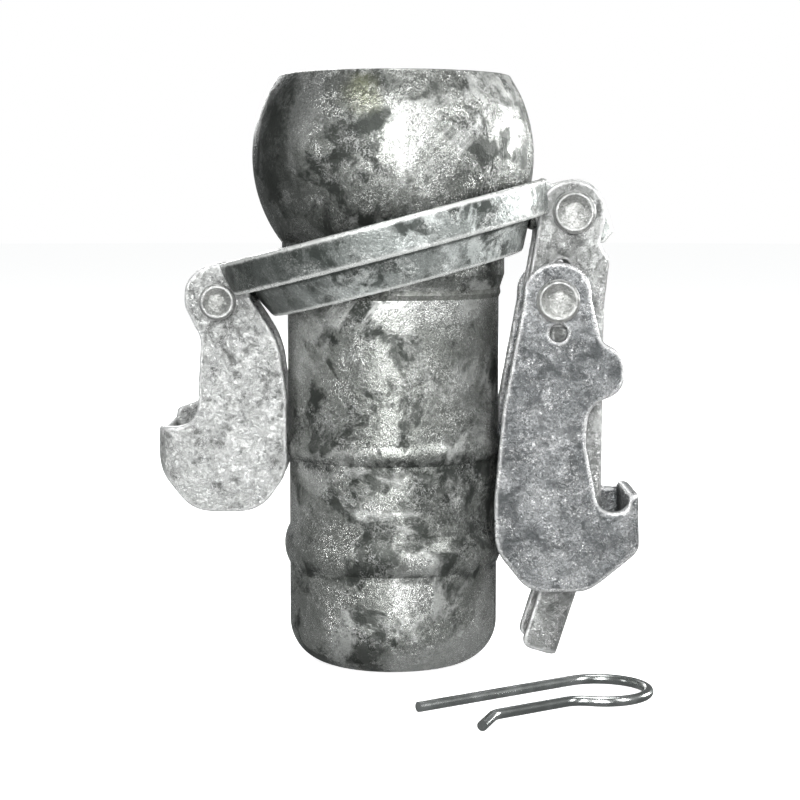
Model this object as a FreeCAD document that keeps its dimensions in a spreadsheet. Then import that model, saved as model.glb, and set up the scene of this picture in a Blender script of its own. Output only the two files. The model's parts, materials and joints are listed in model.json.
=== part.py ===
# Male half of a lever-lock ball coupling for 76 mm hose, in hot-dip galvanised steel.
# Millimetres, +Z up along the pipe axis, origin on that axis at the bottom of the hose shank.
# +X points to the lever side and -X to the claw hook side.
import FreeCAD, Part
import math
import os
import Sketcher

doc = FreeCAD.newDocument("coupling")
sheet = doc.addObject("Spreadsheet::Sheet", "Sizes")


class Size:
    """A length or an angle: its value now, and the expression that gives it."""

    def __init__(self, value, text):
        self.value = value
        self.text = text

    def mixed(self, other, sign, value):
        return Size(value, "(%s %s %s)" % (self.text, sign, asSize(other).text))

    def __add__(self, other):
        return self.mixed(other, "+", self.value + asSize(other).value)

    def __radd__(self, other):
        return asSize(other) + self

    def __sub__(self, other):
        return self.mixed(other, "-", self.value - asSize(other).value)

    def __rsub__(self, other):
        return asSize(other) - self

    def __mul__(self, other):
        return self.mixed(other, "*", self.value * asSize(other).value)

    def __rmul__(self, other):
        return asSize(other) * self

    def __truediv__(self, other):
        return self.mixed(other, "/", self.value / asSize(other).value)

    def __neg__(self):
        return Size(-self.value, "(-1 * %s)" % self.text)


def asSize(item):
    return item if isinstance(item, Size) else Size(float(item), "%.6g" % item)


def cosine(angle):
    return Size(math.cos(math.radians(angle.value)), "cos(%s)" % angle.text)


def sine(angle):
    return Size(math.sin(math.radians(angle.value)), "sin(%s)" % angle.text)


def root(square):
    return Size(math.sqrt(square.value), "sqrt(%s)" % square.text)


class Sizes:
    """The driving sizes. Each one added is a cell of the sheet with an alias."""

    def __init__(self):
        self.row = 0

    def add(self, **cells):
        for alias, value in cells.items():
            self.row += 1
            sheet.set("A%d" % self.row, alias)
            sheet.set("B%d" % self.row, "%g" % value)
            sheet.setAlias("B%d" % self.row, alias)
            setattr(self, alias, Size(float(value), "Sizes." + alias))


size = Sizes()

# Pipe, ball and mouth
size.add(
    ball_radius=51.0,
    ball_wall=3.2,
    ball_height=184.8,
    rim_height=213.6,
    rim_round=1.4,
    collar_radius=40.5,
    collar_foot_radius=38.9,
    collar_bottom=137.5,
    collar_taper_top=142.5,
    tube_radius=38.05,
    tube_wall=3.0,
    upper_tube_radius=38.5,
    nose_radius=15.3,
    upper_bead_height=80.0,
    upper_bead_rise=1.3,
    upper_bead_half=4.2,
    lower_bead_height=43.6,
    lower_bead_rise=1.9,
    lower_bead_half=7.0,
    neck_weld_width=3.4,
    neck_weld_rise=0.7,
    neck_weld_edge=0.42,
)
# Closure ring, in its own tilted frame with its origin at the middle of its top face
size.add(
    ring_shift=4.2,
    ring_height=161.4,
    ring_tilt=14.7,
    flange_radius=62.4,
    flange_draft=2.0,
    flange_depth=12.4,
    seat_radius=57.0,
    seat_arc_radius=42.0,
    ring_depth=23.4,
    band_top_radius=52.4,
    band_foot_radius=46.9,
    ring_bore=43.6,
    bore_top_depth=18.0,
    swing_gap=0.5,
    side_gap=0.5,
    lug_seat=59.2,
    lug_toe=5.4,
    lug_notch=1.0,
    weld_leg=2.2,
    weld_inset=1.2,
    weld_crown_out=0.99,
    weld_crown=0.3,
    weld_edge_out=1.87,
    weld_edge_drop=0.48,
    weld_bite=0.1,
    toe_reach=3.52,
    toe_turn=4.4,
    toe_throat=1.4,
    toe_edge=3.74,
    boss_flat=0.4,
)
# Sheet, rivets and their fits
size.add(
    plate=4.0,
    fold_lead=5.0,
    lip_sink=3.0,
    lip_overlap=1.0,
    fit_gap=0.05,
    face_gap=0.3,
    rivet_radius=4.2,
    lever_rivet_radius=5.0,
    hook_head_radius=6.55,
    lever_head_radius=7.75,
    head_height=3.0,
    head_dish=1.1,
    head_edge=0.9,
    head_rim_share=0.84,
    head_dish_share=0.46,
)
# Claw hook, on the left
size.add(
    hook_reach=64.0,
    hook_drop=12.85,
    hook_half=15.0,
    hook_boss=9.8,
    hook_top_rise=13.4,
    hook_top_out=12.0,
    hook_top_in=11.6,
    hook_top_round=11.4,
    hook_shoulder_drop=1.5,
    hook_waist=6.3,
    hook_waist_drop=13.0,
    hook_mouth_back=8.0,
    hook_mouth_drop=44.9,
    hook_claw_out=22.0,
    hook_web_foot=60.5,
    hook_toe_out=9.5,
    hook_bottom=76.0,
    hook_heel_in=14.5,
    hook_belly_in=24.6,
    hook_belly_foot=62.0,
    hook_belly_top=34.0,
    hook_breast_in=21.8,
    hook_breast_drop=14.5,
    hook_nape_rise=1.5,
    hook_belly_round=30.0,
    hook_far_lip=4.0,
    hook_far_lip_back=8.0,
    claw_fold=6.0,
    hook_throat_round=7.5,
    hook_sole_round=14.0,
    hook_toe_round=16.0,
)
# Lever, on the right
size.add(
    lever_reach=67.6,
    lever_drop=14.3,
    lever_half=13.0,
    lever_boss=11.7,
    ear_radius=11.3,
    ear_flat=0.2,
    ear_side_drop=3.5,
    ear_notch=9.2,
    ear_notch_drop=11.5,
    ear_in=13.8,
    ear_foot=10.0,
    web_out=11.6,
    web_flare=13.4,
    web_top_drop=17.0,
    web_straight_drop=33.0,
    lever_fold=5.5,
    web_foot_out=11.0,
    boss_in=16.6,
    boss_head=26.0,
    boss_foot=44.0,
    arm_depth=14.6,
    arm_top=78.0,
    arm_round=8.0,
    kink_drop=112.0,
    tail_drop=161.8,
    tail_tip_in=5.2,
    tail_width=13.0,
    tail_rise=4.1,
    tail_corner=3.2,
    hanger_out=6.1,
    hanger_drop=31.4,
    pin_hole_radius=3.15,
    pin_hole_reach=11.5,
    pin_hole_turn=170.0,
    lug_nose_out=12.3,
    lug_nose_drop=10.5,
    lug_nose_width=4.2,
    lug_nose_height=3.0,
)
# Lever hook, on the lever
size.add(
    claw_half=20.5,
    claw_turn=1.3,
    claw_top_rise=13.6,
    claw_top_in=12.4,
    claw_top_out=12.2,
    claw_top_round=11.4,
    claw_neck_out=15.4,
    claw_neck_drop=15.4,
    claw_bump_out=23.6,
    claw_bump_top=19.0,
    claw_bump_foot=33.5,
    claw_throat_out=10.4,
    claw_throat_top=37.5,
    claw_back_out=9.2,
    claw_back_drop=52.0,
    claw_mouth_drop=76.3,
    claw_mouth_in=13.4,
    claw_tip_rise=70.0,
    claw_web_out=28.4,
    claw_web_foot=90.8,
    claw_sole_out=9.5,
    claw_bottom=105.2,
    claw_sole_in=12.0,
    claw_heel_in=24.2,
    claw_heel_foot=89.0,
    claw_heel_top=72.0,
    claw_flank_in=20.4,
    claw_flank_drop=38.0,
    claw_bump_round=9.0,
    claw_neck_round=4.0,
    claw_throat_round=6.0,
    claw_mouth_round=4.4,
    claw_sole_round=12.0,
    claw_heel_round=16.0,
    claw_far_lip=3.5,
    claw_far_lip_back=5.6,
    washer_radius=9.5,
    sleeve_wall=3.0,
)
# Safety pin, lying flat in front
size.add(
    wire_radius=1.75,
    pin_x=8.5,
    pin_y=81.9,
    pin_turn=34.7,
    pin_leg=65.0,
    pin_loop_radius=16.3,
    pin_return=22.3,
    pin_waist_radius=10.0,
    pin_clasp_end=17.0,
    pin_flare_radius=7.0,
    pin_flare_turn=38.0,
    pin_flare_length=12.5,
)
doc.recompute()

made = []
# How far cutting outlines run past the metal
overrun = 10
clearOf = 1


def bodyNamed(name):
    body = doc.addObject("PartDesign::Body", name)
    body.Label = name
    made.append(body)
    return body


def bind(item, prop, wanted):
    item.setExpression(prop, asSize(wanted).text)


def place(body, x, z, tilt=None):
    """Puts a body's origin in the XZ plane and turns it about Y, +X end up for a positive tilt."""
    if tilt is not None:
        body.Placement = FreeCAD.Placement(
            FreeCAD.Vector(asSize(x).value, 0, asSize(z).value),
            FreeCAD.Rotation(FreeCAD.Vector(0, -1, 0), tilt.value),
        )
        bind(body, "Placement.Rotation.Angle", tilt)
    bind(body, "Placement.Base.x", x)
    bind(body, "Placement.Base.z", z)


def planeOf(body, role):
    return [item for item in body.Origin.OriginFeatures if item.Role == role][0]


def sketchOn(body, name, role, offset=None):
    sketch = body.newObject("Sketcher::SketchObject", name)
    sketch.AttachmentSupport = [(planeOf(body, role), "")]
    sketch.MapMode = "FlatFace"
    if offset is not None:
        bind(sketch, "AttachmentOffset.Base.z", offset)
    return sketch


def constrain(sketch, kind, where, wanted):
    """Adds one driving constraint bound to its size."""
    index = sketch.addConstraint(Sketcher.Constraint(kind, *where, wanted.value))
    bind(sketch, "Constraints[%d]" % index, wanted)


def pinPoint(sketch, edge, end, x, y):
    for kind, wanted in (("DistanceX", asSize(x)), ("DistanceY", asSize(y))):
        constrain(sketch, kind, (-1, 1, edge, end), wanted)


def vector(x, y):
    return FreeCAD.Vector(asSize(x).value, asSize(y).value, 0)


def arcThrough(start, finish, radius):
    """An arc from start to finish, short way round, turning left for a positive radius."""
    chord = finish - start
    middle = (start + finish) * 0.5
    depth = math.sqrt(max(radius ** 2 - (chord.Length / 2) ** 2, 0.0))
    normal = FreeCAD.Vector(-chord.y, chord.x, 0) / chord.Length
    side = 1 if radius > 0 else -1
    centre = middle + normal * depth * side
    crown = centre + (middle - centre).normalize() * abs(radius)
    return Part.Arc(start, crown, finish)


def drawPath(sketch, points, closed=True):
    """Draws lines and arcs. A point is (x, y) or (x, y, radius), the radius of the arc that leaves it."""
    count = len(points)
    spans = count if closed else count - 1
    for i in range(spans):
        start = vector(*points[i][:2])
        finish = vector(*points[(i + 1) % count][:2])
        if len(points[i]) == 3:
            sketch.addGeometry(arcThrough(start, finish, asSize(points[i][2]).value), False)
        else:
            sketch.addGeometry(Part.LineSegment(start, finish), False)
    ends = []
    for i in range(spans):
        turnsRight = len(points[i]) == 3 and asSize(points[i][2]).value < 0
        ends.append((2, 1) if turnsRight else (1, 2))
    for i in range(spans):
        if closed or i < spans - 1:
            after = (i + 1) % spans
            sketch.addConstraint(
                Sketcher.Constraint("Coincident", i, ends[i][1], after, ends[after][0])
            )
        pinPoint(sketch, i, ends[i][0], *points[i][:2])
        if len(points[i]) == 3:
            radius = asSize(points[i][2])
            constrain(sketch, "Radius", (i,), radius if radius.value > 0 else -radius)
    if not closed:
        pinPoint(sketch, spans - 1, ends[spans - 1][1], *points[-1][:2])


def drawCircle(sketch, x, y, radius):
    index = sketch.addGeometry(
        Part.Circle(vector(x, y), FreeCAD.Vector(0, 0, 1), asSize(radius).value), False
    )
    pinPoint(sketch, index, 3, x, y)
    constrain(sketch, "Radius", (index,), asSize(radius))


def revolved(body, name, points):
    """Turns a closed profile in the XZ plane about the body's Z axis."""
    sketch = sketchOn(body, name + "_profile", "XZ_Plane")
    drawPath(sketch, points)
    turned = body.newObject("PartDesign::Revolution", name)
    turned.Profile = sketch
    turned.ReferenceAxis = (sketch, ["V_Axis"])
    turned.Angle = 360
    sketch.Visibility = False
    return turned


def turnedAcross(body, name, points):
    """Turns a closed profile about the body's Y axis: x is the radius and y the place along Y."""
    sketch = sketchOn(body, name + "_profile", "XY_Plane")
    drawPath(sketch, points)
    turned = body.newObject("PartDesign::Revolution", name)
    turned.Profile = sketch
    turned.ReferenceAxis = (sketch, ["V_Axis"])
    turned.Angle = 360
    return turned


def plateOf(body, name, points, half):
    """Pads an outline in the XZ plane to both sides, half to each."""
    sketch = sketchOn(body, name + "_outline", "XZ_Plane")
    drawPath(sketch, points)
    pad = body.newObject("PartDesign::Pad", name)
    pad.Profile = sketch
    pad.Midplane = True
    bind(pad, "Length", half * 2)
    return pad


def cutAcross(body, name, points, half):
    """Cuts an outline in the XZ plane through both sides, half to each."""
    sketch = sketchOn(body, name + "_outline", "XZ_Plane")
    drawPath(sketch, points)
    return pocketThrough(body, name, sketch, half)


def holeAcross(body, name, x, z, radius, half):
    sketch = sketchOn(body, name + "_circle", "XZ_Plane")
    drawCircle(sketch, x, z, radius)
    return pocketThrough(body, name, sketch, half)


def pocketThrough(body, name, sketch, half):
    before = volumeOf(body)
    pocket = body.newObject("PartDesign::Pocket", name)
    pocket.Profile = sketch
    pocket.Midplane = True
    bind(pocket, "Length", half * 2)
    doc.recompute()
    if volumeOf(body) >= before - 1e-6:
        raise RuntimeError(name + " cuts nothing")
    return pocket


def sideSlot(body, name, x, z, radius, inner, outer):
    """Cuts a round slot on both sides of the XZ plane, from inner to outer."""
    for where, side in (("near", -1), ("far", 1)):
        before = volumeOf(body)
        slot = body.newObject("PartDesign::SubtractiveCylinder", "%s_%s" % (name, where))
        slot.Placement = FreeCAD.Placement(
            FreeCAD.Vector(asSize(x).value, side * inner.value, asSize(z).value),
            FreeCAD.Rotation(FreeCAD.Vector(1, 0, 0), -90 * side),
        )
        bind(slot, "Radius", radius)
        bind(slot, "Height", outer - inner)
        bind(slot, "Placement.Base.x", x)
        bind(slot, "Placement.Base.y", inner * side)
        bind(slot, "Placement.Base.z", z)
        doc.recompute()
        if volumeOf(body) >= before - 1e-6:
            raise RuntimeError(slot.Name + " cuts nothing")


def volumeOf(body):
    doc.recompute()
    return body.Shape.Volume


def roundedAt(body, name, corners, radius):
    """Rounds the edges that run along Y through the given corners of an outline."""
    doc.recompute()
    names = []
    tip = body.Tip
    for x, z in corners:
        wanted = FreeCAD.Vector(asSize(x).value, 0, asSize(z).value)
        for i, edge in enumerate(tip.Shape.Edges):
            if len(edge.Vertexes) != 2:
                continue
            ends = [vertex.Point for vertex in edge.Vertexes]
            isAcross = abs(ends[0].y - ends[1].y) > 0.5
            isThere = all(math.hypot(end.x - wanted.x, end.z - wanted.z) < 1e-4 for end in ends)
            if isAcross and isThere:
                names.append("Edge%d" % (i + 1))
    if len(names) < len(corners):
        raise RuntimeError("%s finds %d of %d corners" % (name, len(names), len(corners)))
    return filleted(body, name, names, radius)


def filleted(body, name, names, radius):
    tip = body.Tip
    fillet = body.newObject("PartDesign::Fillet", name)
    fillet.Base = (tip, names)
    bind(fillet, "Radius", radius)
    doc.recompute()
    if "Invalid" in fillet.State:
        raise RuntimeError(name + " can't be rounded")
    return fillet


# Ball end: a hollow ball on a short collar, open at the top
rimRadius = root(size.ball_radius * size.ball_radius
                 - (size.rim_height - size.ball_height) * (size.rim_height - size.ball_height))
ballInner = size.ball_radius - size.ball_wall
rimInner = root(ballInner * ballInner
                - (size.rim_height - size.ball_height) * (size.rim_height - size.ball_height))
ballFoot = size.ball_height - root(size.ball_radius * size.ball_radius
                                   - size.collar_radius * size.collar_radius)
bore = size.tube_radius - size.tube_wall
boreTop = size.ball_height - root(ballInner * ballInner - bore * bore)

ball = bodyNamed("ball_end")
revolved(ball, "ball_shell", [
    (bore, size.collar_bottom),
    (size.collar_foot_radius, size.collar_bottom),
    (size.collar_radius, size.collar_taper_top),
    (size.collar_radius, ballFoot, size.ball_radius),
    (size.ball_radius, size.ball_height, size.ball_radius),
    (rimRadius, size.rim_height),
    (rimInner, size.rim_height, -ballInner),
    (ballInner, size.ball_height, -ballInner),
    (bore, boreTop),
])
doc.recompute()
rimEdges = [
    "Edge%d" % (i + 1)
    for i, edge in enumerate(ball.Tip.Shape.Edges)
    if abs(edge.BoundBox.ZMin - size.rim_height.value) < 1e-4
    and abs(edge.BoundBox.ZMax - size.rim_height.value) < 1e-4
]
filleted(ball, "rim_rounding", rimEdges, size.rim_round)

# Hose shank: a beaded tube with a rounded nose at its lower end
noseInner = size.nose_radius - size.tube_wall
noseMouth = size.tube_radius - size.nose_radius


def beadRadius(rise, half):
    """The radius of an arc that rises by rise over a chord of twice half."""
    return (half * half + rise * rise) / (rise * 2)


shank = bodyNamed("hose_shank")
stepTop = size.upper_bead_height + size.upper_bead_half
revolved(shank, "shank_wall", [
    (noseMouth, 0, size.nose_radius),
    (size.tube_radius, size.nose_radius),
    (size.tube_radius, size.lower_bead_height - size.lower_bead_half,
     beadRadius(size.lower_bead_rise, size.lower_bead_half)),
    (size.tube_radius, size.lower_bead_height + size.lower_bead_half),
    (size.tube_radius, size.upper_bead_height - size.upper_bead_half,
     beadRadius(size.upper_bead_rise, size.upper_bead_half)),
    (size.upper_tube_radius, stepTop),
    (size.upper_tube_radius, size.collar_bottom),
    (bore, size.collar_bottom),
    (bore, size.nose_radius, -noseInner),
    (noseMouth, size.tube_wall),
])

# Neck weld: a low bead around the joint of the collar and the tube
weld = bodyNamed("neck_weld")
revolved(weld, "neck_bead", [
    (size.upper_tube_radius, size.collar_bottom - size.neck_weld_width),
    (size.upper_tube_radius + size.neck_weld_rise, size.collar_bottom - size.neck_weld_width * 0.5),
    (size.upper_tube_radius + size.neck_weld_edge, size.collar_bottom),
    (size.upper_tube_radius, size.collar_bottom),
])

# Closure ring: a drafted flange over a conical band, with a curved seat for the back of the ball.
# Its outer face has a flat for each lug, and slots beside the lugs where the cheeks swing.
hookInner = size.hook_half - size.plate
leverInner = size.lever_half - size.plate
hookLugHalf = hookInner - size.face_gap
leverLugHalf = leverInner - size.face_gap
hookSwing = size.hook_top_rise + size.swing_gap
earSwing = size.ear_in + size.swing_gap
flangeFoot = size.flange_radius - size.flange_draft

ring = bodyNamed("closure_ring")
revolved(ring, "ring_band", [
    (size.seat_radius, 0, -size.seat_arc_radius),
    (size.ring_bore, -size.bore_top_depth),
    (size.ring_bore, -size.ring_depth),
    (size.band_foot_radius, -size.ring_depth),
    (size.band_top_radius, -size.flange_depth),
    (flangeFoot, -size.flange_depth),
    (size.flange_radius, 0),
])
outside = size.flange_radius + size.plate
for name, side, half in (("hook_flat", -1, hookLugHalf), ("lever_flat", 1, leverLugHalf)):
    cutAcross(ring, name, [
        (size.lug_seat * side, size.plate),
        (outside * side, size.plate),
        (outside * side, -size.flange_depth),
        (size.lug_seat * side, -size.flange_depth),
    ], half)
headRoom = size.head_height + size.side_gap
sideSlot(ring, "hook_slot", -size.hook_reach, -size.hook_drop, hookSwing,
         hookLugHalf, size.hook_half + size.side_gap)
sideSlot(ring, "hook_head_room", -size.hook_reach, -size.hook_drop,
         size.hook_head_radius + size.swing_gap, size.hook_half, size.hook_half + headRoom)
sideSlot(ring, "ear_slot", size.lever_reach, -size.lever_drop, earSwing,
         leverLugHalf, size.lever_half + size.side_gap)
place(ring, -size.ring_shift, size.ring_height, size.ring_tilt)


def lugOf(name, side, outline, rounds, pivot, holeRadius, half):
    """A flat lug in the ring's frame. side is -1 at the claw hook and 1 at the lever."""
    lug = bodyNamed(name)
    plateOf(lug, name + "_plate", [(x * side, z) for x, z in outline], half)
    for index, (corners, radius) in enumerate(rounds):
        roundedAt(lug, "%s_round_%d" % (name, index), [(x * side, z) for x, z in corners], radius)
    holeAcross(lug, name + "_bore", pivot[0] * side, pivot[1], holeRadius, half + clearOf)
    place(lug, -size.ring_shift, size.ring_height, size.ring_tilt)


lugFoot = size.lug_seat - size.lug_toe
hookBossOut = size.hook_reach + size.hook_boss
hookBossTop = size.hook_boss - size.hook_drop
hookBossFoot = -size.hook_drop - size.hook_boss
hookRounded = size.hook_boss - size.boss_flat
lugOf("hook_lug", -1, [
    (size.lug_seat, -size.weld_inset),
    (size.lug_seat + size.weld_leg, -size.weld_inset),
    (size.lug_seat + size.weld_leg + size.lug_notch, hookBossTop),
    (hookBossOut, hookBossTop),
    (hookBossOut, hookBossFoot),
    (size.lug_seat, hookBossFoot),
    (lugFoot, -size.flange_depth - size.lug_toe),
    (lugFoot, -size.flange_depth),
    (size.lug_seat, -size.flange_depth),
], [([(hookBossOut, hookBossTop), (hookBossOut, hookBossFoot)], hookRounded)],
      (size.hook_reach, -size.hook_drop), size.rivet_radius + size.fit_gap, hookLugHalf)

leverBossOut = size.lever_reach + size.lever_boss
leverBossTop = size.lever_boss - size.lever_drop
noseOut = size.lever_reach + size.lug_nose_out
noseFoot = -size.lever_drop - size.lug_nose_drop
lugOf("lever_lug", 1, [
    (size.lug_seat, -size.weld_inset),
    (size.lug_seat + size.weld_leg, -size.weld_inset),
    (size.lug_seat + size.weld_leg + size.lug_notch, leverBossTop),
    (leverBossOut, leverBossTop),
    (leverBossOut, -size.lever_drop),
    (noseOut, noseFoot),
    (noseOut - size.lug_nose_width, noseFoot - size.lug_nose_height),
    (size.lug_seat, -size.lever_drop - size.lever_boss),
    (lugFoot, -size.flange_depth - size.lug_toe),
    (lugFoot, -size.flange_depth),
    (size.lug_seat, -size.flange_depth),
], [([(leverBossOut, leverBossTop)], size.lever_boss - size.boss_flat)],
      (size.lever_reach, -size.lever_drop), size.lever_rivet_radius + size.fit_gap, leverLugHalf)


def weldsOf(name, side, half):
    """Two beads that hold a lug: one on its top at the flange, one at its toe under the flange."""
    length = half - size.weld_inset
    top = bodyNamed(name + "_top_weld")
    plateOf(top, name + "_top_bead", [(x * side, z) for x, z in (
        (size.lug_seat, -size.weld_inset),
        (size.lug_seat, 0),
        (size.lug_seat + size.weld_crown_out, size.weld_crown),
        (size.lug_seat + size.weld_edge_out, -size.weld_edge_drop),
        (size.lug_seat + size.weld_leg, -size.weld_inset),
    )], length)
    place(top, -size.ring_shift, size.ring_height, size.ring_tilt)
    toe = bodyNamed(name + "_toe_weld")
    bandSlope = (size.band_top_radius - size.band_foot_radius) / (size.ring_depth - size.flange_depth)
    bandAtToe = size.band_top_radius - bandSlope * size.toe_reach
    plateOf(toe, name + "_toe_bead", [(x * side, z) for x, z in (
        (lugFoot, -size.flange_depth),
        (size.band_top_radius + size.weld_bite, -size.flange_depth),
        (bandAtToe + size.weld_bite, -size.flange_depth - size.toe_reach),
        (bandAtToe + size.toe_throat, -size.flange_depth - size.toe_turn),
        (lugFoot, -size.flange_depth - size.toe_edge),
    )], length)
    place(toe, -size.ring_shift, size.ring_height, size.ring_tilt)


weldsOf("hook_lug", -1, hookLugHalf)
weldsOf("lever_lug", 1, leverLugHalf)

# Pivots in the part's frame
turn = size.ring_tilt
hookPivotX = -size.ring_shift - size.hook_reach * cosine(turn) + size.hook_drop * sine(turn)
hookPivotZ = size.ring_height - size.hook_reach * sine(turn) - size.hook_drop * cosine(turn)
leverPivotX = -size.ring_shift + size.lever_reach * cosine(turn) + size.lever_drop * sine(turn)
leverPivotZ = size.ring_height + size.lever_reach * sine(turn) - size.lever_drop * cosine(turn)
hangerX = leverPivotX - size.hanger_out
hangerZ = leverPivotZ - size.hanger_drop


def foldedOutside(body, name, out, half, radius, top, foot, side):
    """Rounds the outside of a fold: cuts the two corners at out and half, from top down to foot."""
    for where, mark in (("near", -1), ("far", 1)):
        sketch = sketchOn(body, "%s_%s_profile" % (name, where), "XY_Plane", top)
        corner = [
            ((out + clearOf) * side, (half + clearOf) * mark),
            ((out + clearOf) * side, (half - radius) * mark),
            (out * side, (half - radius) * mark, radius * (mark * side)),
            ((out - radius) * side, half * mark),
            ((out - radius) * side, (half + clearOf) * mark),
        ]
        drawPath(sketch, corner)
        before = volumeOf(body)
        cut = body.newObject("PartDesign::Pocket", "%s_%s" % (name, where))
        cut.Profile = sketch
        bind(cut, "Length", top - foot)
        if volumeOf(body) >= before - 1e-6:
            raise RuntimeError(cut.Name + " cuts nothing")


def farPad(body, name, points, half, thickness):
    """Adds a patch of sheet to the far cheek only."""
    sketch = sketchOn(body, name + "_outline", "XZ_Plane", -half)
    drawPath(sketch, points)
    pad = body.newObject("PartDesign::Pad", name)
    pad.Profile = sketch
    bind(pad, "Length", thickness)
    doc.recompute()


def rivetOf(name, shaft, head, half, x, z):
    """A rivet across Y with a dished head at each end, on cheeks whose outer faces are at half."""
    rivet = bodyNamed(name)
    top = half + size.head_height
    floor = top - size.head_dish
    rim = head * size.head_rim_share
    dish = head * size.head_dish_share
    turnedAcross(rivet, name + "_turned", [
        (0, -floor),
        (dish, -floor),
        (rim, -top),
        (head, -top + size.head_edge),
        (head, -half),
        (shaft, -half),
        (shaft, half),
        (head, half),
        (head, top - size.head_edge),
        (rim, top),
        (dish, floor),
        (0, floor),
    ])
    place(rivet, x, z)


# Claw hook: one folded sheet. Two cheeks hang from the rivet and a web joins them at the claw.
# Outward is -X here, so the outline is mirrored.
hook = bodyNamed("claw_hook")
webFloor = size.hook_claw_out - size.plate


def leftOf(points):
    return [(-asSize(point[0]), point[1]) for point in points]


hookTopIn = (-size.hook_top_in, size.hook_top_rise)
hookTopOut = (size.hook_top_out, size.hook_top_rise)
hookShoulder = (size.hook_top_out, -size.hook_shoulder_drop)
hookWaist = (size.hook_waist, -size.hook_waist_drop)
hookThroat = (size.hook_mouth_back, -size.hook_mouth_drop)
hookTip = (size.hook_claw_out, -size.hook_mouth_drop)
hookToe = (size.hook_claw_out, -size.hook_web_foot)
hookSole = (size.hook_toe_out, -size.hook_bottom)
hookHeel = (-size.hook_heel_in, -size.hook_bottom)
hookBelly = (-size.hook_belly_in, -size.hook_belly_foot)
hookBellyTop = (-size.hook_belly_in, -size.hook_belly_top)
hookBreast = (-size.hook_breast_in, -size.hook_breast_drop)
hookNape = (-size.hook_top_in, size.hook_nape_rise)
plateOf(hook, "hook_cheeks", leftOf([
    hookTopIn, hookTopOut, hookShoulder, hookWaist, hookThroat, hookTip, hookToe,
    hookSole, hookHeel, hookBelly, hookBellyTop, hookBreast, hookNape,
]), size.hook_half)
roundedAt(hook, "hook_top_rounding", leftOf([hookTopIn, hookTopOut]), size.hook_top_round)
roundedAt(hook, "hook_throat_rounding", leftOf([hookThroat, hookShoulder, hookWaist]),
          size.hook_throat_round)
roundedAt(hook, "hook_toe_rounding", leftOf([hookToe]), size.hook_toe_round)
roundedAt(hook, "hook_sole_rounding", leftOf([hookSole, hookHeel, hookBelly]), size.hook_sole_round)
roundedAt(hook, "hook_belly_rounding", leftOf([hookBellyTop, hookBreast]), size.hook_belly_round)
cutAcross(hook, "hook_inside", leftOf([
    (-size.hook_belly_in - overrun, size.hook_top_rise + overrun),
    (webFloor, size.hook_top_rise + overrun),
    (webFloor, -size.hook_bottom - overrun),
    (-size.hook_belly_in - overrun, -size.hook_bottom - overrun),
]), hookInner)
foldedOutside(hook, "hook_fold", size.hook_claw_out, size.hook_half, size.claw_fold,
              -size.hook_mouth_drop + size.fold_lead, -size.hook_bottom, -1)
farPad(hook, "hook_far_lip", leftOf([
    (size.hook_mouth_back - size.lip_overlap, -size.hook_mouth_drop + size.hook_far_lip_back),
    (webFloor, -size.hook_mouth_drop + size.hook_far_lip),
    (webFloor, -size.hook_mouth_drop - size.lip_sink),
    (size.hook_mouth_back - size.lip_overlap, -size.hook_mouth_drop - size.lip_sink),
]), size.hook_half, size.plate)
holeAcross(hook, "hook_rivet_hole", 0, 0, size.rivet_radius, size.hook_half + clearOf)
place(hook, hookPivotX, hookPivotZ)
rivetOf("hook_rivet", size.rivet_radius, size.hook_head_radius, size.hook_half, hookPivotX, hookPivotZ)

# Lever: one folded channel with its web on the outside. Ears above, a boss for the lever hook's
# rivet, a straight arm and a tail that leans in.
lever = bodyNamed("lever")
tailSlope = (size.web_foot_out + size.tail_tip_in) / (size.tail_drop - size.kink_drop)
webSide = [
    (size.web_flare, -size.web_top_drop),
    (size.web_out, -size.web_straight_drop),
    (size.web_foot_out, -size.kink_drop),
    (-size.tail_tip_in, -size.tail_drop),
]
tailInner = (-size.tail_tip_in - size.tail_width, -size.tail_drop + size.tail_rise)
armFoot = (size.web_foot_out - size.arm_depth, -size.kink_drop)
armTop = (size.web_out - size.arm_depth, -size.arm_top)
bossFoot = (-size.boss_in, -size.boss_foot)
bossTop = (-size.boss_in, -size.boss_head)
earFoot = (-size.ear_in, -size.ear_foot)
earTopIn = (-size.ear_radius, size.ear_radius)
earTopOut = (size.ear_radius, size.ear_radius)
earSide = (size.ear_radius, -size.ear_side_drop)
earNotch = (size.ear_notch, -size.ear_notch_drop)
plateOf(lever, "lever_cheeks",
        [earTopIn, earTopOut, earSide, earNotch] + webSide
        + [tailInner, armFoot, armTop, bossFoot, bossTop, earFoot], size.lever_half)
roundedAt(lever, "ear_rounding", [earTopIn, earTopOut], size.ear_radius - size.ear_flat)
roundedAt(lever, "notch_rounding", [earSide, earNotch], size.tail_corner)
roundedAt(lever, "arm_rounding", [bossFoot, armTop, webSide[2], armFoot], size.arm_round)
roundedAt(lever, "tail_rounding", [tailInner], size.tail_corner)
doc.recompute()
foldEdges = []
for i, edge in enumerate(lever.Tip.Shape.Edges):
    ends = [vertex.Point for vertex in edge.Vertexes]
    if len(ends) != 2 or any(abs(abs(end.y) - size.lever_half.value) > 1e-4 for end in ends):
        continue
    if abs(ends[0].y - ends[1].y) > 1e-4:
        continue
    middle = edge.CenterOfMass
    for (x1, z1), (x2, z2) in zip(webSide[:-1], webSide[1:]):
        along = FreeCAD.Vector(x2.value - x1.value, 0, z2.value - z1.value)
        away = FreeCAD.Vector(middle.x - x1.value, 0, middle.z - z1.value)
        if along.cross(away).Length / along.Length < 0.05 and 0 < away.dot(along) < along.Length ** 2:
            foldEdges.append("Edge%d" % (i + 1))
filleted(lever, "lever_fold_rounding", foldEdges, size.lever_fold)
inside = [(x - size.plate, z) for x, z in webSide]
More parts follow.
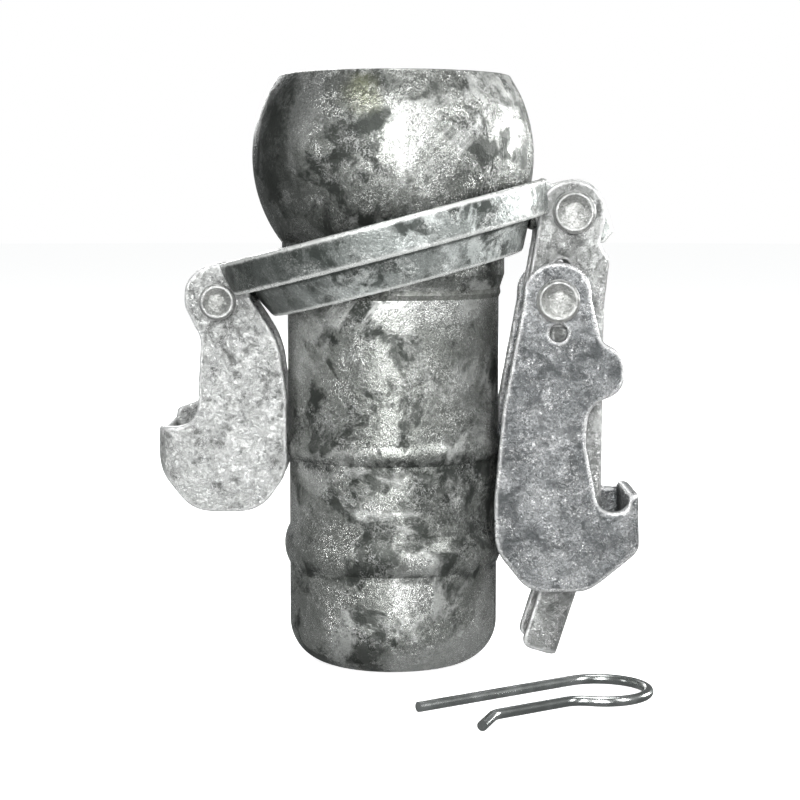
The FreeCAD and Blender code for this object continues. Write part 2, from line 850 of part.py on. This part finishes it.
cutAcross(lever, "lever_inside", [
    (-size.boss_in - overrun, size.ear_radius + overrun),
    (size.web_flare + overrun, size.ear_radius + overrun),
    (size.web_flare + overrun, -size.web_top_drop),
] + inside[:3] + [
    (inside[3][0] - tailSlope * overrun, inside[3][1] - overrun),
    (-size.boss_in - overrun * 2, -size.tail_drop - overrun),
], leverInner)
pinTurn = size.pin_hole_turn + size.claw_turn
holeAcross(lever, "lever_pivot_hole", 0, 0, size.lever_rivet_radius, size.lever_half + clearOf)
holeAcross(lever, "lever_hanger_hole", -size.hanger_out, -size.hanger_drop,
           size.lever_rivet_radius + size.fit_gap, size.lever_half + clearOf)
holeAcross(lever, "lever_pin_hole", -size.hanger_out + size.pin_hole_reach * sine(pinTurn),
           -size.hanger_drop - size.pin_hole_reach * cosine(pinTurn),
           size.pin_hole_radius, size.lever_half + clearOf)
place(lever, leverPivotX, leverPivotZ)
rivetOf("lever_rivet", size.lever_rivet_radius, size.lever_head_radius, size.lever_half,
        leverPivotX, leverPivotZ)

# Spacer sleeve: keeps the lever's cheeks apart on the lever hook's rivet
sleeve = bodyNamed("spacer_sleeve")
sleeveBore = size.lever_rivet_radius + size.fit_gap
turnedAcross(sleeve, "sleeve_turned", [
    (sleeveBore, -leverInner),
    (sleeveBore + size.sleeve_wall, -leverInner),
    (sleeveBore + size.sleeve_wall, leverInner),
    (sleeveBore, leverInner),
])
place(sleeve, hangerX, hangerZ)

# Lever hook: one folded sheet, longer than the claw hook. Its cheeks straddle the lever.
claw = bodyNamed("lever_hook")
clawInner = size.claw_half - size.plate
clawWebIn = size.claw_web_out - size.plate
clawTopIn = (-size.claw_top_in, size.claw_top_rise)
clawTopOut = (size.claw_top_out, size.claw_top_rise)
clawShoulder = (size.claw_top_out, 0)
clawNeck = (size.claw_neck_out, -size.claw_neck_drop)
clawBumpTop = (size.claw_bump_out, -size.claw_bump_top)
clawBumpFoot = (size.claw_bump_out, -size.claw_bump_foot)
clawThroatTop = (size.claw_throat_out, -size.claw_throat_top)
clawBack = (size.claw_back_out, -size.claw_back_drop)
clawMouthIn = (size.claw_mouth_in, -size.claw_mouth_drop)
clawMouthOut = (clawWebIn, -size.claw_mouth_drop)
clawTipIn = (clawWebIn, -size.claw_tip_rise)
clawTipOut = (size.claw_web_out, -size.claw_tip_rise)
clawWebFoot = (size.claw_web_out, -size.claw_web_foot)
clawSoleOut = (size.claw_sole_out, -size.claw_bottom)
clawSoleIn = (-size.claw_sole_in, -size.claw_bottom)
clawHeelFoot = (-size.claw_heel_in, -size.claw_heel_foot)
clawHeelTop = (-size.claw_heel_in, -size.claw_heel_top)
clawFlank = (-size.claw_flank_in, -size.claw_flank_drop)
clawNape = (-size.claw_top_in, 0)
plateOf(claw, "claw_cheeks", [
    clawTopIn, clawTopOut, clawShoulder, clawNeck, clawBumpTop, clawBumpFoot, clawThroatTop,
    clawBack, clawMouthIn, clawMouthOut, clawTipIn, clawTipOut, clawWebFoot,
    clawSoleOut, clawSoleIn, clawHeelFoot, clawHeelTop, clawFlank, clawNape,
], size.claw_half)
roundedAt(claw, "claw_top_rounding", [clawTopIn, clawTopOut], size.claw_top_round)
roundedAt(claw, "claw_bump_rounding", [clawBumpTop, clawBumpFoot, clawThroatTop], size.claw_bump_round)
roundedAt(claw, "claw_neck_rounding", [clawNeck], size.claw_neck_round)
roundedAt(claw, "claw_throat_rounding", [clawMouthIn], size.claw_throat_round)
roundedAt(claw, "claw_mouth_rounding", [clawMouthOut], size.claw_mouth_round)
roundedAt(claw, "claw_sole_rounding", [clawSoleOut, clawSoleIn], size.claw_sole_round)
roundedAt(claw, "claw_heel_rounding", [clawHeelFoot, clawHeelTop, clawFlank], size.claw_heel_round)
cutAcross(claw, "claw_inside", [
    (-size.claw_heel_in - overrun, size.claw_top_rise + overrun),
    (size.claw_bump_out + overrun, size.claw_top_rise + overrun),
    (size.claw_bump_out + overrun, -size.claw_throat_top - overrun),
    (clawWebIn, -size.claw_throat_top - overrun),
    (clawWebIn, -size.claw_bottom - overrun),
    (-size.claw_heel_in - overrun, -size.claw_bottom - overrun),
], clawInner)
foldedOutside(claw, "claw_fold_round", size.claw_web_out, size.claw_half, size.claw_fold,
              -size.claw_tip_rise + size.fold_lead, -size.claw_bottom, 1)
farPad(claw, "claw_far_lip", [
    (size.claw_back_out + size.lip_overlap, -size.claw_mouth_drop + size.claw_far_lip_back),
    (clawWebIn, -size.claw_mouth_drop + size.claw_far_lip),
    (clawWebIn, -size.claw_mouth_drop - size.lip_sink),
    (size.claw_back_out + size.lip_overlap, -size.claw_mouth_drop - size.lip_sink),
], size.claw_half, size.plate)
holeAcross(claw, "claw_rivet_hole", 0, 0, size.lever_rivet_radius, size.claw_half + clearOf)
holeAcross(claw, "claw_pin_hole", 0, -size.pin_hole_reach, size.pin_hole_radius, size.claw_half + clearOf)
place(claw, hangerX, hangerZ, size.claw_turn)
rivetOf("lever_hook_rivet", size.lever_rivet_radius, size.lever_head_radius, size.claw_half,
        hangerX, hangerZ)

# Washers between the lever's cheeks and the lever hook's cheeks
for name, mark in (("near_washer", -1), ("far_washer", 1)):
    washer = bodyNamed(name)
    turnedAcross(washer, name + "_turned", [
        (size.lever_rivet_radius, (size.lever_half + size.face_gap) * mark),
        (size.washer_radius, (size.lever_half + size.face_gap) * mark),
        (size.washer_radius, clawInner * mark),
        (size.lever_rivet_radius, clawInner * mark),
    ])
    place(washer, hangerX, hangerZ)

# Safety pin: one bent wire, flat on the floor. A straight leg, a loop and a waved return.
loop = size.pin_loop_radius
waist = size.pin_waist_radius
drop = size.pin_return + waist - loop
reach = root((loop + waist) * (loop + waist) - drop * drop)
joinX = size.pin_leg - reach * loop / (loop + waist)
joinY = -loop - drop * loop / (loop + waist)
flare = size.pin_flare_turn
flareX = size.pin_clasp_end - size.pin_flare_radius * sine(flare)
flareY = -size.pin_return - size.pin_flare_radius * (1 - cosine(flare))
pin = bodyNamed("safety_pin")
route = sketchOn(pin, "pin_route", "XY_Plane")
drawPath(route, [
    (0, 0),
    (size.pin_leg, 0, -loop),
    (size.pin_leg + loop, -loop, -loop),
    (size.pin_leg, -loop * 2, -loop),
    (joinX, joinY, waist),
    (size.pin_leg - reach, -size.pin_return),
    (size.pin_clasp_end, -size.pin_return, size.pin_flare_radius),
    (flareX, flareY),
    (flareX - size.pin_flare_length * cosine(flare), flareY - size.pin_flare_length * sine(flare)),
], closed=False)
wire = sketchOn(pin, "pin_section", "YZ_Plane")
drawCircle(wire, 0, 0, size.wire_radius)
swept = pin.newObject("PartDesign::AdditivePipe", "pin_wire")
swept.Profile = wire
swept.Spine = (route, ["Edge%d" % (i + 1) for i in range(8)])
pin.Placement = FreeCAD.Placement(
    FreeCAD.Vector(size.pin_x.value, -size.pin_y.value, size.wire_radius.value),
    FreeCAD.Rotation(FreeCAD.Vector(0, 0, 1), size.pin_turn.value),
)
bind(pin, "Placement.Base.x", size.pin_x)
bind(pin, "Placement.Base.y", -size.pin_y)
bind(pin, "Placement.Base.z", size.wire_radius)
bind(pin, "Placement.Rotation.Angle", size.pin_turn)

doc.recompute()
for item in doc.Objects:
    if "Invalid" in item.State or "Error" in item.State:
        raise RuntimeError("%s failed: %s" % (item.Name, item.State))
os.makedirs("parts", exist_ok=True)
for body in made:
    shape = body.Shape
    if shape.isNull() or not shape.isValid() or len(shape.Solids) != 1:
        raise RuntimeError(body.Label + " is not one valid solid")
    shape.exportStep("parts/%s.step" % body.Label)
    print("%-22s %9.1f mm3" % (body.Label, shape.Volume))
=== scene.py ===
import json
import math

import bmesh
import bpy
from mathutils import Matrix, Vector


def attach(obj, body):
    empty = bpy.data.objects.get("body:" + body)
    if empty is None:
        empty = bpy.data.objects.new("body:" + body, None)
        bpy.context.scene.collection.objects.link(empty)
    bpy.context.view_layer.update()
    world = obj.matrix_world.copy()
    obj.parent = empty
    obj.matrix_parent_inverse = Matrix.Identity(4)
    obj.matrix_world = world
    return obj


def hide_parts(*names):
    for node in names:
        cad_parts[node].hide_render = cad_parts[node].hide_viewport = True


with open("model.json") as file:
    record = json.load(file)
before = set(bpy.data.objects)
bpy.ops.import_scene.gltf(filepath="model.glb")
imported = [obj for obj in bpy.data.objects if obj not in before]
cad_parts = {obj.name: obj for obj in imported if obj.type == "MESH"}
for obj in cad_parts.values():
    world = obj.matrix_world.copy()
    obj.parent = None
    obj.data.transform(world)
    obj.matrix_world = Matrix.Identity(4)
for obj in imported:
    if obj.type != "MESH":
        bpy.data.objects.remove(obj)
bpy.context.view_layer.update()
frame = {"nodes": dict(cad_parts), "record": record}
record = frame["record"]
bodyOf = {node: body for body, nodes in record["behaviour"]["bodies"].items() for node in nodes}
print("frame loaded:", len(frame["nodes"]), "pieces")


class Value:
    __slots__ = ("nodes", "socket")

    def __init__(self, nodes, socket):
        self.nodes = nodes
        self.socket = socket

    def maths(self, operation, first, second, clamp=False):
        settings = {"operation": operation, "use_clamp": clamp}
        return self.nodes.add("ShaderNodeMath", settings, {0: first, 1: second})

    def __add__(self, other):
        return self.maths("ADD", self, other)

    def __radd__(self, other):
        return self.maths("ADD", other, self)

    def __sub__(self, other):
        return self.maths("SUBTRACT", self, other)

    def __rsub__(self, other):
        return self.maths("SUBTRACT", other, self)

    def __mul__(self, other):
        return self.maths("MULTIPLY", self, other)

    def __rmul__(self, other):
        return self.maths("MULTIPLY", other, self)

    def __abs__(self):
        return self.nodes.add("ShaderNodeMath", {"operation": "ABSOLUTE"}, {0: self})

    def clamped(self):
        return self.maths("MULTIPLY", self, 1.0, clamp=True)


class Nodes:
    def __init__(self, owner):
        owner.use_nodes = True
        self.tree = owner.node_tree
        self.tree.nodes.clear()

    def add(self, kind, settings=None, inputs=None, output=0):
        node = self.tree.nodes.new(kind)
        for name, value in (settings or {}).items():
            setattr(node, name, value)
        for name, value in (inputs or {}).items():
            if isinstance(value, Value):
                self.tree.links.new(value.socket, node.inputs[name])
            else:
                node.inputs[name].default_value = value
        return Value(self, node.outputs[output]) if node.outputs else node

    def noise(self, place, scale, detail=4.0, rough=0.55, twist=0.0):
        return self.add("ShaderNodeTexNoise", {}, {
            "Vector": place, "Scale": scale, "Detail": detail, "Roughness": rough, "Distortion": twist})

    def step(self, value, low, high):
        return self.add("ShaderNodeMapRange", {"interpolation_type": "SMOOTHSTEP"}, {
            "Value": value, "From Min": low, "From Max": high})

    def mixed(self, share, first, second):
        return self.add("ShaderNodeMix", {"data_type": "RGBA"}, {0: share, 6: first, 7: second}, output=2)

    def bump(self, height, strength, depth):
        return self.add("ShaderNodeBump", {}, {"Height": height, "Strength": strength, "Distance": depth})

    def metal(self, tone, rough, share, normal):
        shader = self.add("ShaderNodeBsdfPrincipled", {}, {
            "Base Color": tone, "Roughness": rough, "Metallic": share, "Normal": normal})
        self.add("ShaderNodeOutputMaterial", {}, {"Surface": shader})


# zinc finishes: colours from dark to bright, patch and grain sizes in cells per metre
bodyZinc = {
    "dark": (0.040, 0.044, 0.040, 1), "mid": (0.25, 0.260, 0.245, 1), "light": (0.58, 0.592, 0.575, 1),
    "fleck": (0.95, 0.96, 0.94, 1), "patches": 52, "cover": 0.475, "edge": 0.035, "cloud": 26,
    "spangle": 240, "worms": 520, "wormShare": 0.50, "grain": 1500, "metal": 0.84,
    "gloss": 0.24, "spread": 0.26, "bump": 0.55, "fine": 0.5, "coarse": 0.9,
}
ringZinc = dict(bodyZinc, dark=(0.036, 0.042, 0.038, 1), mid=(0.26, 0.28, 0.27, 1),
                light=(0.62, 0.655, 0.64, 1), patches=74, cloud=42, worms=600, wormShare=0.55,
                metal=0.60, rims=0.55)
sheetZinc = {
    "dark": (0.13, 0.134, 0.128, 1), "mid": (0.42, 0.428, 0.42, 1), "light": (0.72, 0.73, 0.72, 1),
    "fleck": (1.0, 1.0, 1.0, 1), "patches": 190, "cover": 0.43, "edge": 0.06, "cloud": 90,
    "spangle": 500, "worms": 480, "wormShare": 0.85, "grain": 1300, "metal": 0.72,
    "gloss": 0.34, "spread": 0.20, "bump": 1.0, "fine": 1.0, "coarse": 1.8, "rims": 0.45,
}
blueZinc = dict(sheetZinc, dark=(0.065, 0.070, 0.072, 1), mid=(0.125, 0.131, 0.134, 1),
                light=(0.25, 0.257, 0.26, 1), patches=120, cloud=60, wormShare=0.35, bump=0.7, gloss=0.28)
tailZinc = dict(sheetZinc, dark=(0.08, 0.084, 0.08, 1), mid=(0.19, 0.195, 0.19, 1),
                light=(0.42, 0.43, 0.42, 1), patches=120, wormShare=0.55, bump=0.7)
rivetZinc = dict(sheetZinc, dark=(0.10, 0.104, 0.10, 1), mid=(0.24, 0.245, 0.235, 1),
                 light=(0.40, 0.405, 0.39, 1), patches=150, wormShare=0.25, bump=0.5, gloss=0.32,
                 rims=0.2)
weldZinc = dict(bodyZinc, dark=(0.028, 0.030, 0.026, 1), mid=(0.11, 0.115, 0.105, 1),
                light=(0.30, 0.31, 0.29, 1), patches=180, gloss=0.45, bump=0.9)

# the character of each noise; those without a scale take it from the finish
layers = {
    "mottle": {"detail": 12.0, "rough": 0.70, "twist": 0.35},
    "cloud": {"detail": 12.0, "rough": 0.68, "twist": 0.5},
    "worms": {"detail": 5.0, "rough": 0.62, "twist": 0.9},
    "grain": {"detail": 3.0, "rough": 0.7},
    "warp": {"scale": 260, "detail": 2.0},
    "clump": {"scale": 105, "detail": 8.0, "rough": 0.72},
    "wobble": {"scale": 70, "detail": 5.0, "rough": 0.7},
    "tear": {"scale": 95, "detail": 8.0, "rough": 0.72},
    "side": {"scale": 60, "detail": 8.0, "rough": 0.7},
    "blot": {"scale": 120, "detail": 6.0, "rough": 0.7},
}

# what all finishes share: a step is where a mask starts and ends, a share is its strength,
# a reach is in metres, and a height is a part of the bump's depth
coat = {
    "cloudStep": (0.50, 0.58), "cloudShare": 0.8,
    "warpReach": 0.002, "spangleShare": 0.30,
    "poreStep": (0.52, 0.36), "poreShare": 0.40,
    "wormStep": (0.004, 0.032), "clumpStep": (0.44, 0.60), "sparkStep": (0.60, 0.70),
    # the wobble, tear and band core shape the painted shade rings at the beads
    "wobbleReach": 0.008, "tearStep": (0.46, 0.55), "bandCore": 0.3,
    # the side reach and the dulling shape the painted side shade
    "sideReach": 0.030, "sideDulls": 0.8,
    "stainCore": 0.5, "stainRim": 1.4, "stainShare": 0.45,
    # the rim and crease steps set the painted edge highlight and the painted crease shade
    "rimStep": (0.503, 0.518), "creaseStep": (0.496, 0.482), "creaseShare": 0.8,
    "grainGloss": 0.30, "grainHeight": 0.30, "crestHeight": 0.35, "patchHeight": 0.30,
    "shadeHeight": 0.05, "bumpDepth": 0.0005,
}


def spangles(nodes, place, look):
    warp = nodes.noise(place, **layers["warp"])
    shift = nodes.add("ShaderNodeVectorMath", {"operation": "SCALE"}, {0: warp, "Scale": coat["warpReach"]})
    shifted = nodes.add("ShaderNodeVectorMath", {"operation": "ADD"}, {0: place, 1: shift})
    cells = nodes.add("ShaderNodeTexVoronoi", {"feature": "F1"}, {
        "Vector": shifted, "Scale": look["spangle"], "Randomness": 1.0}, output="Color")
    return nodes.add("ShaderNodeSeparateColor", {}, {"Color": cells})


def zincTone(nodes, place, look, patch, shade, grain):
    cloud = nodes.step(nodes.noise(place, look["cloud"], **layers["cloud"]), *coat["cloudStep"])
    pores = nodes.step(grain, *coat["poreStep"])
    tone = nodes.mixed(patch, look["dark"], look["mid"])
    tone = nodes.mixed(cloud * coat["cloudShare"], tone, look["light"])
    tone = nodes.mixed(shade * coat["spangleShare"], tone, look["mid"])
    return nodes.mixed(pores * coat["poreShare"], tone, look["dark"])


# painted shade: a ragged dark ring round the piece at a given height, in the crease of a bead
def darkBand(nodes, place, look, tone, band):
    upright = nodes.add("ShaderNodeSeparateXYZ", {}, {"Vector": place}, output="Z")
    wobble = (nodes.noise(place, **layers["wobble"]) - 0.5) * coat["wobbleReach"]
    away = abs(upright + wobble - band["height"])
    ragged = nodes.step(nodes.noise(place, **layers["tear"]), *coat["tearStep"])
    near = 1 - nodes.step(away, band["half"] * coat["bandCore"], band["half"])
    return nodes.mixed(near * ragged * band["strength"], tone, look["dark"])


# painted shade: darkens the piece towards one end along x, as if that side were turned from the lamps
def paintedSideShade(nodes, place, side):
    across = nodes.add("ShaderNodeSeparateXYZ", {}, {"Vector": place}, output="X")
    ragged = nodes.noise(place, **layers["side"]) * coat["sideReach"]
    return nodes.step(across + ragged, side["to"], side["from"]) * side["strength"]


def stained(nodes, place, tone, stain):
    away = nodes.add("ShaderNodeVectorMath", {"operation": "DISTANCE"}, {
        0: place, 1: stain["at"]}, output="Value")
    ragged = nodes.noise(place, **layers["blot"]) * stain["reach"]
    core = stain["reach"] * coat["stainCore"]
    rim = stain["reach"] * coat["stainRim"]
    spot = 1 - nodes.step(away + ragged, core, rim)
    return nodes.mixed(spot * coat["stainShare"], tone, stain["colour"])


# painted highlight on sharp outer edges and painted shade in creases, both picked out by the mesh's
# pointiness
def paintedRimsAndCreases(nodes, look, tone):
    bend = nodes.add("ShaderNodeNewGeometry", output="Pointiness")
    tone = nodes.mixed(nodes.step(bend, *coat["rimStep"]) * look["rims"], tone, look["fleck"])
    return nodes.mixed(nodes.step(bend, *coat["creaseStep"]) * coat["creaseShare"], tone, look["dark"])


def galvanised(name, look, bands=(), stain=None, paintedShade=None):
    material = bpy.data.materials.new(name)
    nodes = Nodes(material)
    place = nodes.add("ShaderNodeTexCoord", output="Object")
    mottle = nodes.noise(place, look["patches"], **layers["mottle"])
    patch = nodes.step(mottle, look["cover"] - look["edge"], look["cover"] + look["edge"])
    shade = spangles(nodes, place, look)
    ridge = nodes.noise(place, look["worms"], **layers["worms"])
    worm = 1 - nodes.step(abs(ridge - 0.5), *coat["wormStep"])  # thin wandering crests of zinc
    clump = nodes.step(nodes.noise(place, **layers["clump"]), *coat["clumpStep"])
    grain = nodes.noise(place, look["grain"], **layers["grain"])
    spark = nodes.step(grain, *coat["sparkStep"]) * clump
    tone = zincTone(nodes, place, look, patch, shade, grain)
    for band in bands:
        tone = darkBand(nodes, place, look, tone, band)
    shine = 1.0
    # painted shade: one side of the piece is darkened, and its flecks and crests are dimmed there
    if paintedShade:
        share = paintedSideShade(nodes, place, paintedShade)
        tone = nodes.mixed(share, tone, look["dark"])
        shine = 1 - share * coat["sideDulls"]
    if stain:
        tone = stained(nodes, place, tone, stain)
    crest = worm * clump * shine * look["wormShare"]
    tone = nodes.mixed(crest, tone, look["fleck"])
    tone = nodes.mixed(spark * shine * look["fine"], tone, look["fleck"])
    # painted edge highlight and painted crease shade
    if "rims" in look:
        tone = paintedRimsAndCreases(nodes, look, tone)
    rough = (look["gloss"] + (1 - patch) * look["spread"] + (grain - 0.5) * coat["grainGloss"]).clamped()
    height = (grain * coat["grainHeight"] + ridge * look["coarse"] + crest * coat["crestHeight"]
              + patch * coat["patchHeight"] + shade * coat["shadeHeight"])
    nodes.metal(tone, rough, look["metal"], nodes.bump(height, look["bump"], coat["bumpDepth"]))
    return material


wire = {
    "dull": (0.42, 0.44, 0.43, 1), "bright": (0.72, 0.74, 0.73, 1), "streaks": 90, "streakStep": (0.4, 0.7),
    "smears": 260, "gloss": 0.16, "spread": 0.14, "grain": 900, "bump": 0.08, "bumpDepth": 0.0002,
}


def platedWire():
    material = bpy.data.materials.new("brightZincWire")
    nodes = Nodes(material)
    place = nodes.add("ShaderNodeTexCoord", output="Object")
    rough = wire["gloss"] + nodes.noise(place, wire["smears"], 4.0) * wire["spread"]
    streak = nodes.step(nodes.noise(place, wire["streaks"], 5.0), *wire["streakStep"])
    tone = nodes.mixed(streak, wire["dull"], wire["bright"])
    grain = nodes.noise(place, wire["grain"], 3.0)
    nodes.metal(tone, rough, 1.0, nodes.bump(grain, wire["bump"], wire["bumpDepth"]))
    return material


# painted shade: dark rings in the creases at and just under the beads of the shank, in metres above the
# floor
beadCreaseShade = (
    {"height": 0.0755, "half": 0.0040, "strength": 0.9},
    {"height": 0.0365, "half": 0.0030, "strength": 0.7},
    {"height": 0.0480, "half": 0.0022, "strength": 0.8},
)
ballStain = {"at": (-0.0105, -0.0445, 0.2050), "reach": 0.011, "colour": (0.34, 0.36, 0.20, 1)}
# painted shade: the ball darker on its left, and the ring darker towards its left end
ballShadedSide = {"from": -0.030, "to": 0.000, "strength": 0.82}
ringShadedSide = {"from": -0.036, "to": 0.014, "strength": 0.92}

shankFinish = galvanised("bodyZinc", bodyZinc, bands=beadCreaseShade)
ballFinish = galvanised("ballZinc", bodyZinc, stain=ballStain, paintedShade=ballShadedSide)
weldFinish = galvanised("weldZinc", weldZinc)
ringFinish = galvanised("ringZinc", ringZinc, paintedShade=ringShadedSide)
rivetFinish = galvanised("rivetZinc", rivetZinc)
finishes = {
    "ball_end": ballFinish,
    "hose_shank": shankFinish,
    "closure_ring": ringFinish,
    "hook_lug": ringFinish,
    "lever_lug": ringFinish,
    "claw_hook": galvanised("clawZinc", sheetZinc),
    "lever": galvanised("leverZinc", tailZinc),
    "lever_hook": galvanised("hookZinc", blueZinc),
    "safety_pin": platedWire(),
}
print("materials made:", len(bpy.data.materials))


def finishOf(node):
    if node.endswith("weld"):
        return weldFinish
    return finishes.get(node, rivetFinish)


# pieces with soft, lumpy edges of zinc: rounds of smoothing, and the rest in metres
lugSkin = {"voxel": 0.00045, "rounds": 8, "lump": 0.00010, "grain": 0.004}
rivetSkin = {"voxel": 0.00030, "rounds": 7, "lump": 0.00012, "grain": 0.003}
weldSkin = {"voxel": 0.00025, "rounds": 4, "lump": 0.00040, "grain": 0.0018}
soft = {
    "closure_ring": {"voxel": 0.00060, "rounds": 22, "lump": 0.00022, "grain": 0.006},
    "hook_lug": lugSkin,
    "lever_lug": lugSkin,
    "claw_hook": {"voxel": 0.00050, "rounds": 36, "lump": 0.00022, "grain": 0.0045},
    "lever": {"voxel": 0.00050, "rounds": 26, "lump": 0.00014, "grain": 0.005},
    "lever_hook": {"voxel": 0.00050, "rounds": 40, "lump": 0.00018, "grain": 0.005},
    "hook_rivet": dict(rivetSkin, rounds=6, lump=0.00005),
    "lever_rivet": rivetSkin,
    "lever_hook_rivet": rivetSkin,
    "hook_lug_top_weld": weldSkin,
    "hook_lug_toe_weld": weldSkin,
    "lever_lug_top_weld": dict(weldSkin, lump=0.00050),
    "lever_lug_toe_weld": weldSkin,
}
mergeReach = 0.000002
cloudDepth = 2


def mergedCopy(source):
    mesh = source.data.copy()
    mesh.transform(source.matrix_world)
    shape = bmesh.new()
    shape.from_mesh(mesh)
    bmesh.ops.remove_doubles(shape, verts=shape.verts, dist=mergeReach)
    shape.to_mesh(mesh)
    shape.free()
    mesh.materials.clear()
    return mesh


def dippedSkin(node, values):
    work = bpy.data.objects.new(node + "_work", mergedCopy(frame["nodes"][node]))
    bpy.context.collection.objects.link(work)
    remesh = work.modifiers.new("even", "REMESH")
    remesh.mode = "VOXEL"
    remesh.voxel_size = values["voxel"]
    smooth = work.modifiers.new("soft", "SMOOTH")
    smooth.factor = 0.5
    smooth.iterations = values["rounds"]
    clouds = bpy.data.textures.new(node + "_lumps", "CLOUDS")
    clouds.noise_scale = values["grain"]
    clouds.noise_depth = cloudDepth
    lumps = work.modifiers.new("lumps", "DISPLACE")
    lumps.texture = clouds
    lumps.strength = values["lump"]
    lumps.mid_level = 0.5
    lumps.texture_coords = "LOCAL"
    bpy.context.view_layer.update()
    done = bpy.data.meshes.new_from_object(work.evaluated_get(bpy.context.evaluated_depsgraph_get()))
    bpy.data.objects.remove(work)
    for face in done.polygons:
        face.use_smooth = True
    done.materials.clear()
    done.materials.append(finishOf(node))
    piece = bpy.data.objects.new(node + "_dipped", done)
    bpy.context.collection.objects.link(piece)
    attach(piece, bodyOf[node])
    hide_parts(node)
    return piece


skins = {node: dippedSkin(node, values) for node, values in soft.items()}
print("dipped skins:", sum(len(piece.data.polygons) for piece in skins.values()), "faces")

for node, piece in frame["nodes"].items():
    if node in skins:
        continue
    for holder in piece.material_slots:
        holder.material = finishOf(node)
    if not piece.material_slots:
        piece.data.materials.append(finishOf(node))
print("plain pieces finished")

studio = {
    "floorRadius": 9.0, "floorSides": 96, "floorShade": (0.9, 0.9, 0.9, 1), "floorRough": 0.9,
    "floorGlow": 0.80, "room": (0.30, 0.31, 0.31, 1), "roomGlow": 0.62, "white": (1, 1, 1, 1),
    "aim": (0, 0, 0.11), "lens": 90, "sensor": 36, "tilt": 5.47, "from": (0.0025, -0.7312, 0.166),
}


def paleFloor():
    shape = bmesh.new()
    bmesh.ops.create_circle(
        shape, cap_ends=True, segments=studio["floorSides"], radius=studio["floorRadius"])
    mesh = bpy.data.meshes.new("floor")
    shape.to_mesh(mesh)
    shape.free()
    floor = bpy.data.objects.new("floor", mesh)
    bpy.context.collection.objects.link(floor)
    material = bpy.data.materials.new("paleFloor")
    nodes = Nodes(material)
    shader = nodes.add("ShaderNodeBsdfPrincipled", {}, {
        "Base Color": studio["floorShade"], "Roughness": studio["floorRough"],
        "Emission Color": studio["white"], "Emission Strength": studio["floorGlow"]})
    nodes.add("ShaderNodeOutputMaterial", {}, {"Surface": shader})
    mesh.materials.append(material)
    floor.visible_glossy = False  # the metal mirrors the dim room, not the floor


def paleSky():
    world = bpy.data.worlds.new("studio")
    bpy.context.scene.world = world
    nodes = Nodes(world)
    seen = nodes.add("ShaderNodeLightPath", output="Is Camera Ray")
    room = nodes.add("ShaderNodeBackground", {}, {"Color": studio["room"], "Strength": studio["roomGlow"]})
    white = nodes.add("ShaderNodeBackground", {}, {"Color": studio["white"], "Strength": 1.0})
    both = nodes.add("ShaderNodeMixShader", {}, {0: seen, 1: room, 2: white})
    nodes.add("ShaderNodeOutputWorld", {}, {"Surface": both})


# soft boxes round the object: place and size in metres
lamps = {
    "frontBox": {"at": (-0.10, -1.7, 0.75), "size": (0.30, 1.0), "watts": 31},
    "rightBox": {"at": (1.15, -1.0, 0.80), "size": (0.40, 1.1), "watts": 12},
    "rimBox": {"at": (1.40, 0.62, 0.42), "size": (0.60, 0.30), "watts": 22},
    "lowBox": {"at": (0.0, -1.6, 0.02), "size": (0.9, 0.30), "watts": 6},
    "leftBox": {"at": (-1.5, -0.6, 0.45), "size": (0.25, 0.8), "watts": 2.5},
    "topBox": {"at": (0.1, 0.1, 1.5), "size": (0.7, 0.7), "watts": 7},
    "backBox": {"at": (-0.4, 1.7, 0.8), "size": (0.6, 1.0), "watts": 11},
}


def softbox(name, lamp):
    light = bpy.data.lights.new(name, "AREA")
    light.shape = "RECTANGLE"
    light.size, light.size_y = lamp["size"]
    light.energy = lamp["watts"]
    box = bpy.data.objects.new(name, light)
    box.location = lamp["at"]
    away = Vector(studio["aim"]) - Vector(lamp["at"])
    box.rotation_euler = away.to_track_quat("-Z", "Y").to_euler()
    bpy.context.collection.objects.link(box)


paleFloor()
paleSky()
for name, lamp in lamps.items():
    softbox(name, lamp)

camera = bpy.data.cameras.new("camera")
camera.lens = studio["lens"]
camera.sensor_width = studio["sensor"]
camera.dof.use_dof = False
view = bpy.data.objects.new("camera", camera)
view.location = studio["from"]
view.rotation_euler = (math.radians(90 - studio["tilt"]), 0, 0)
bpy.context.collection.objects.link(view)
bpy.context.scene.camera = view
bpy.context.scene.view_settings.view_transform = "Standard"
print("studio ready")
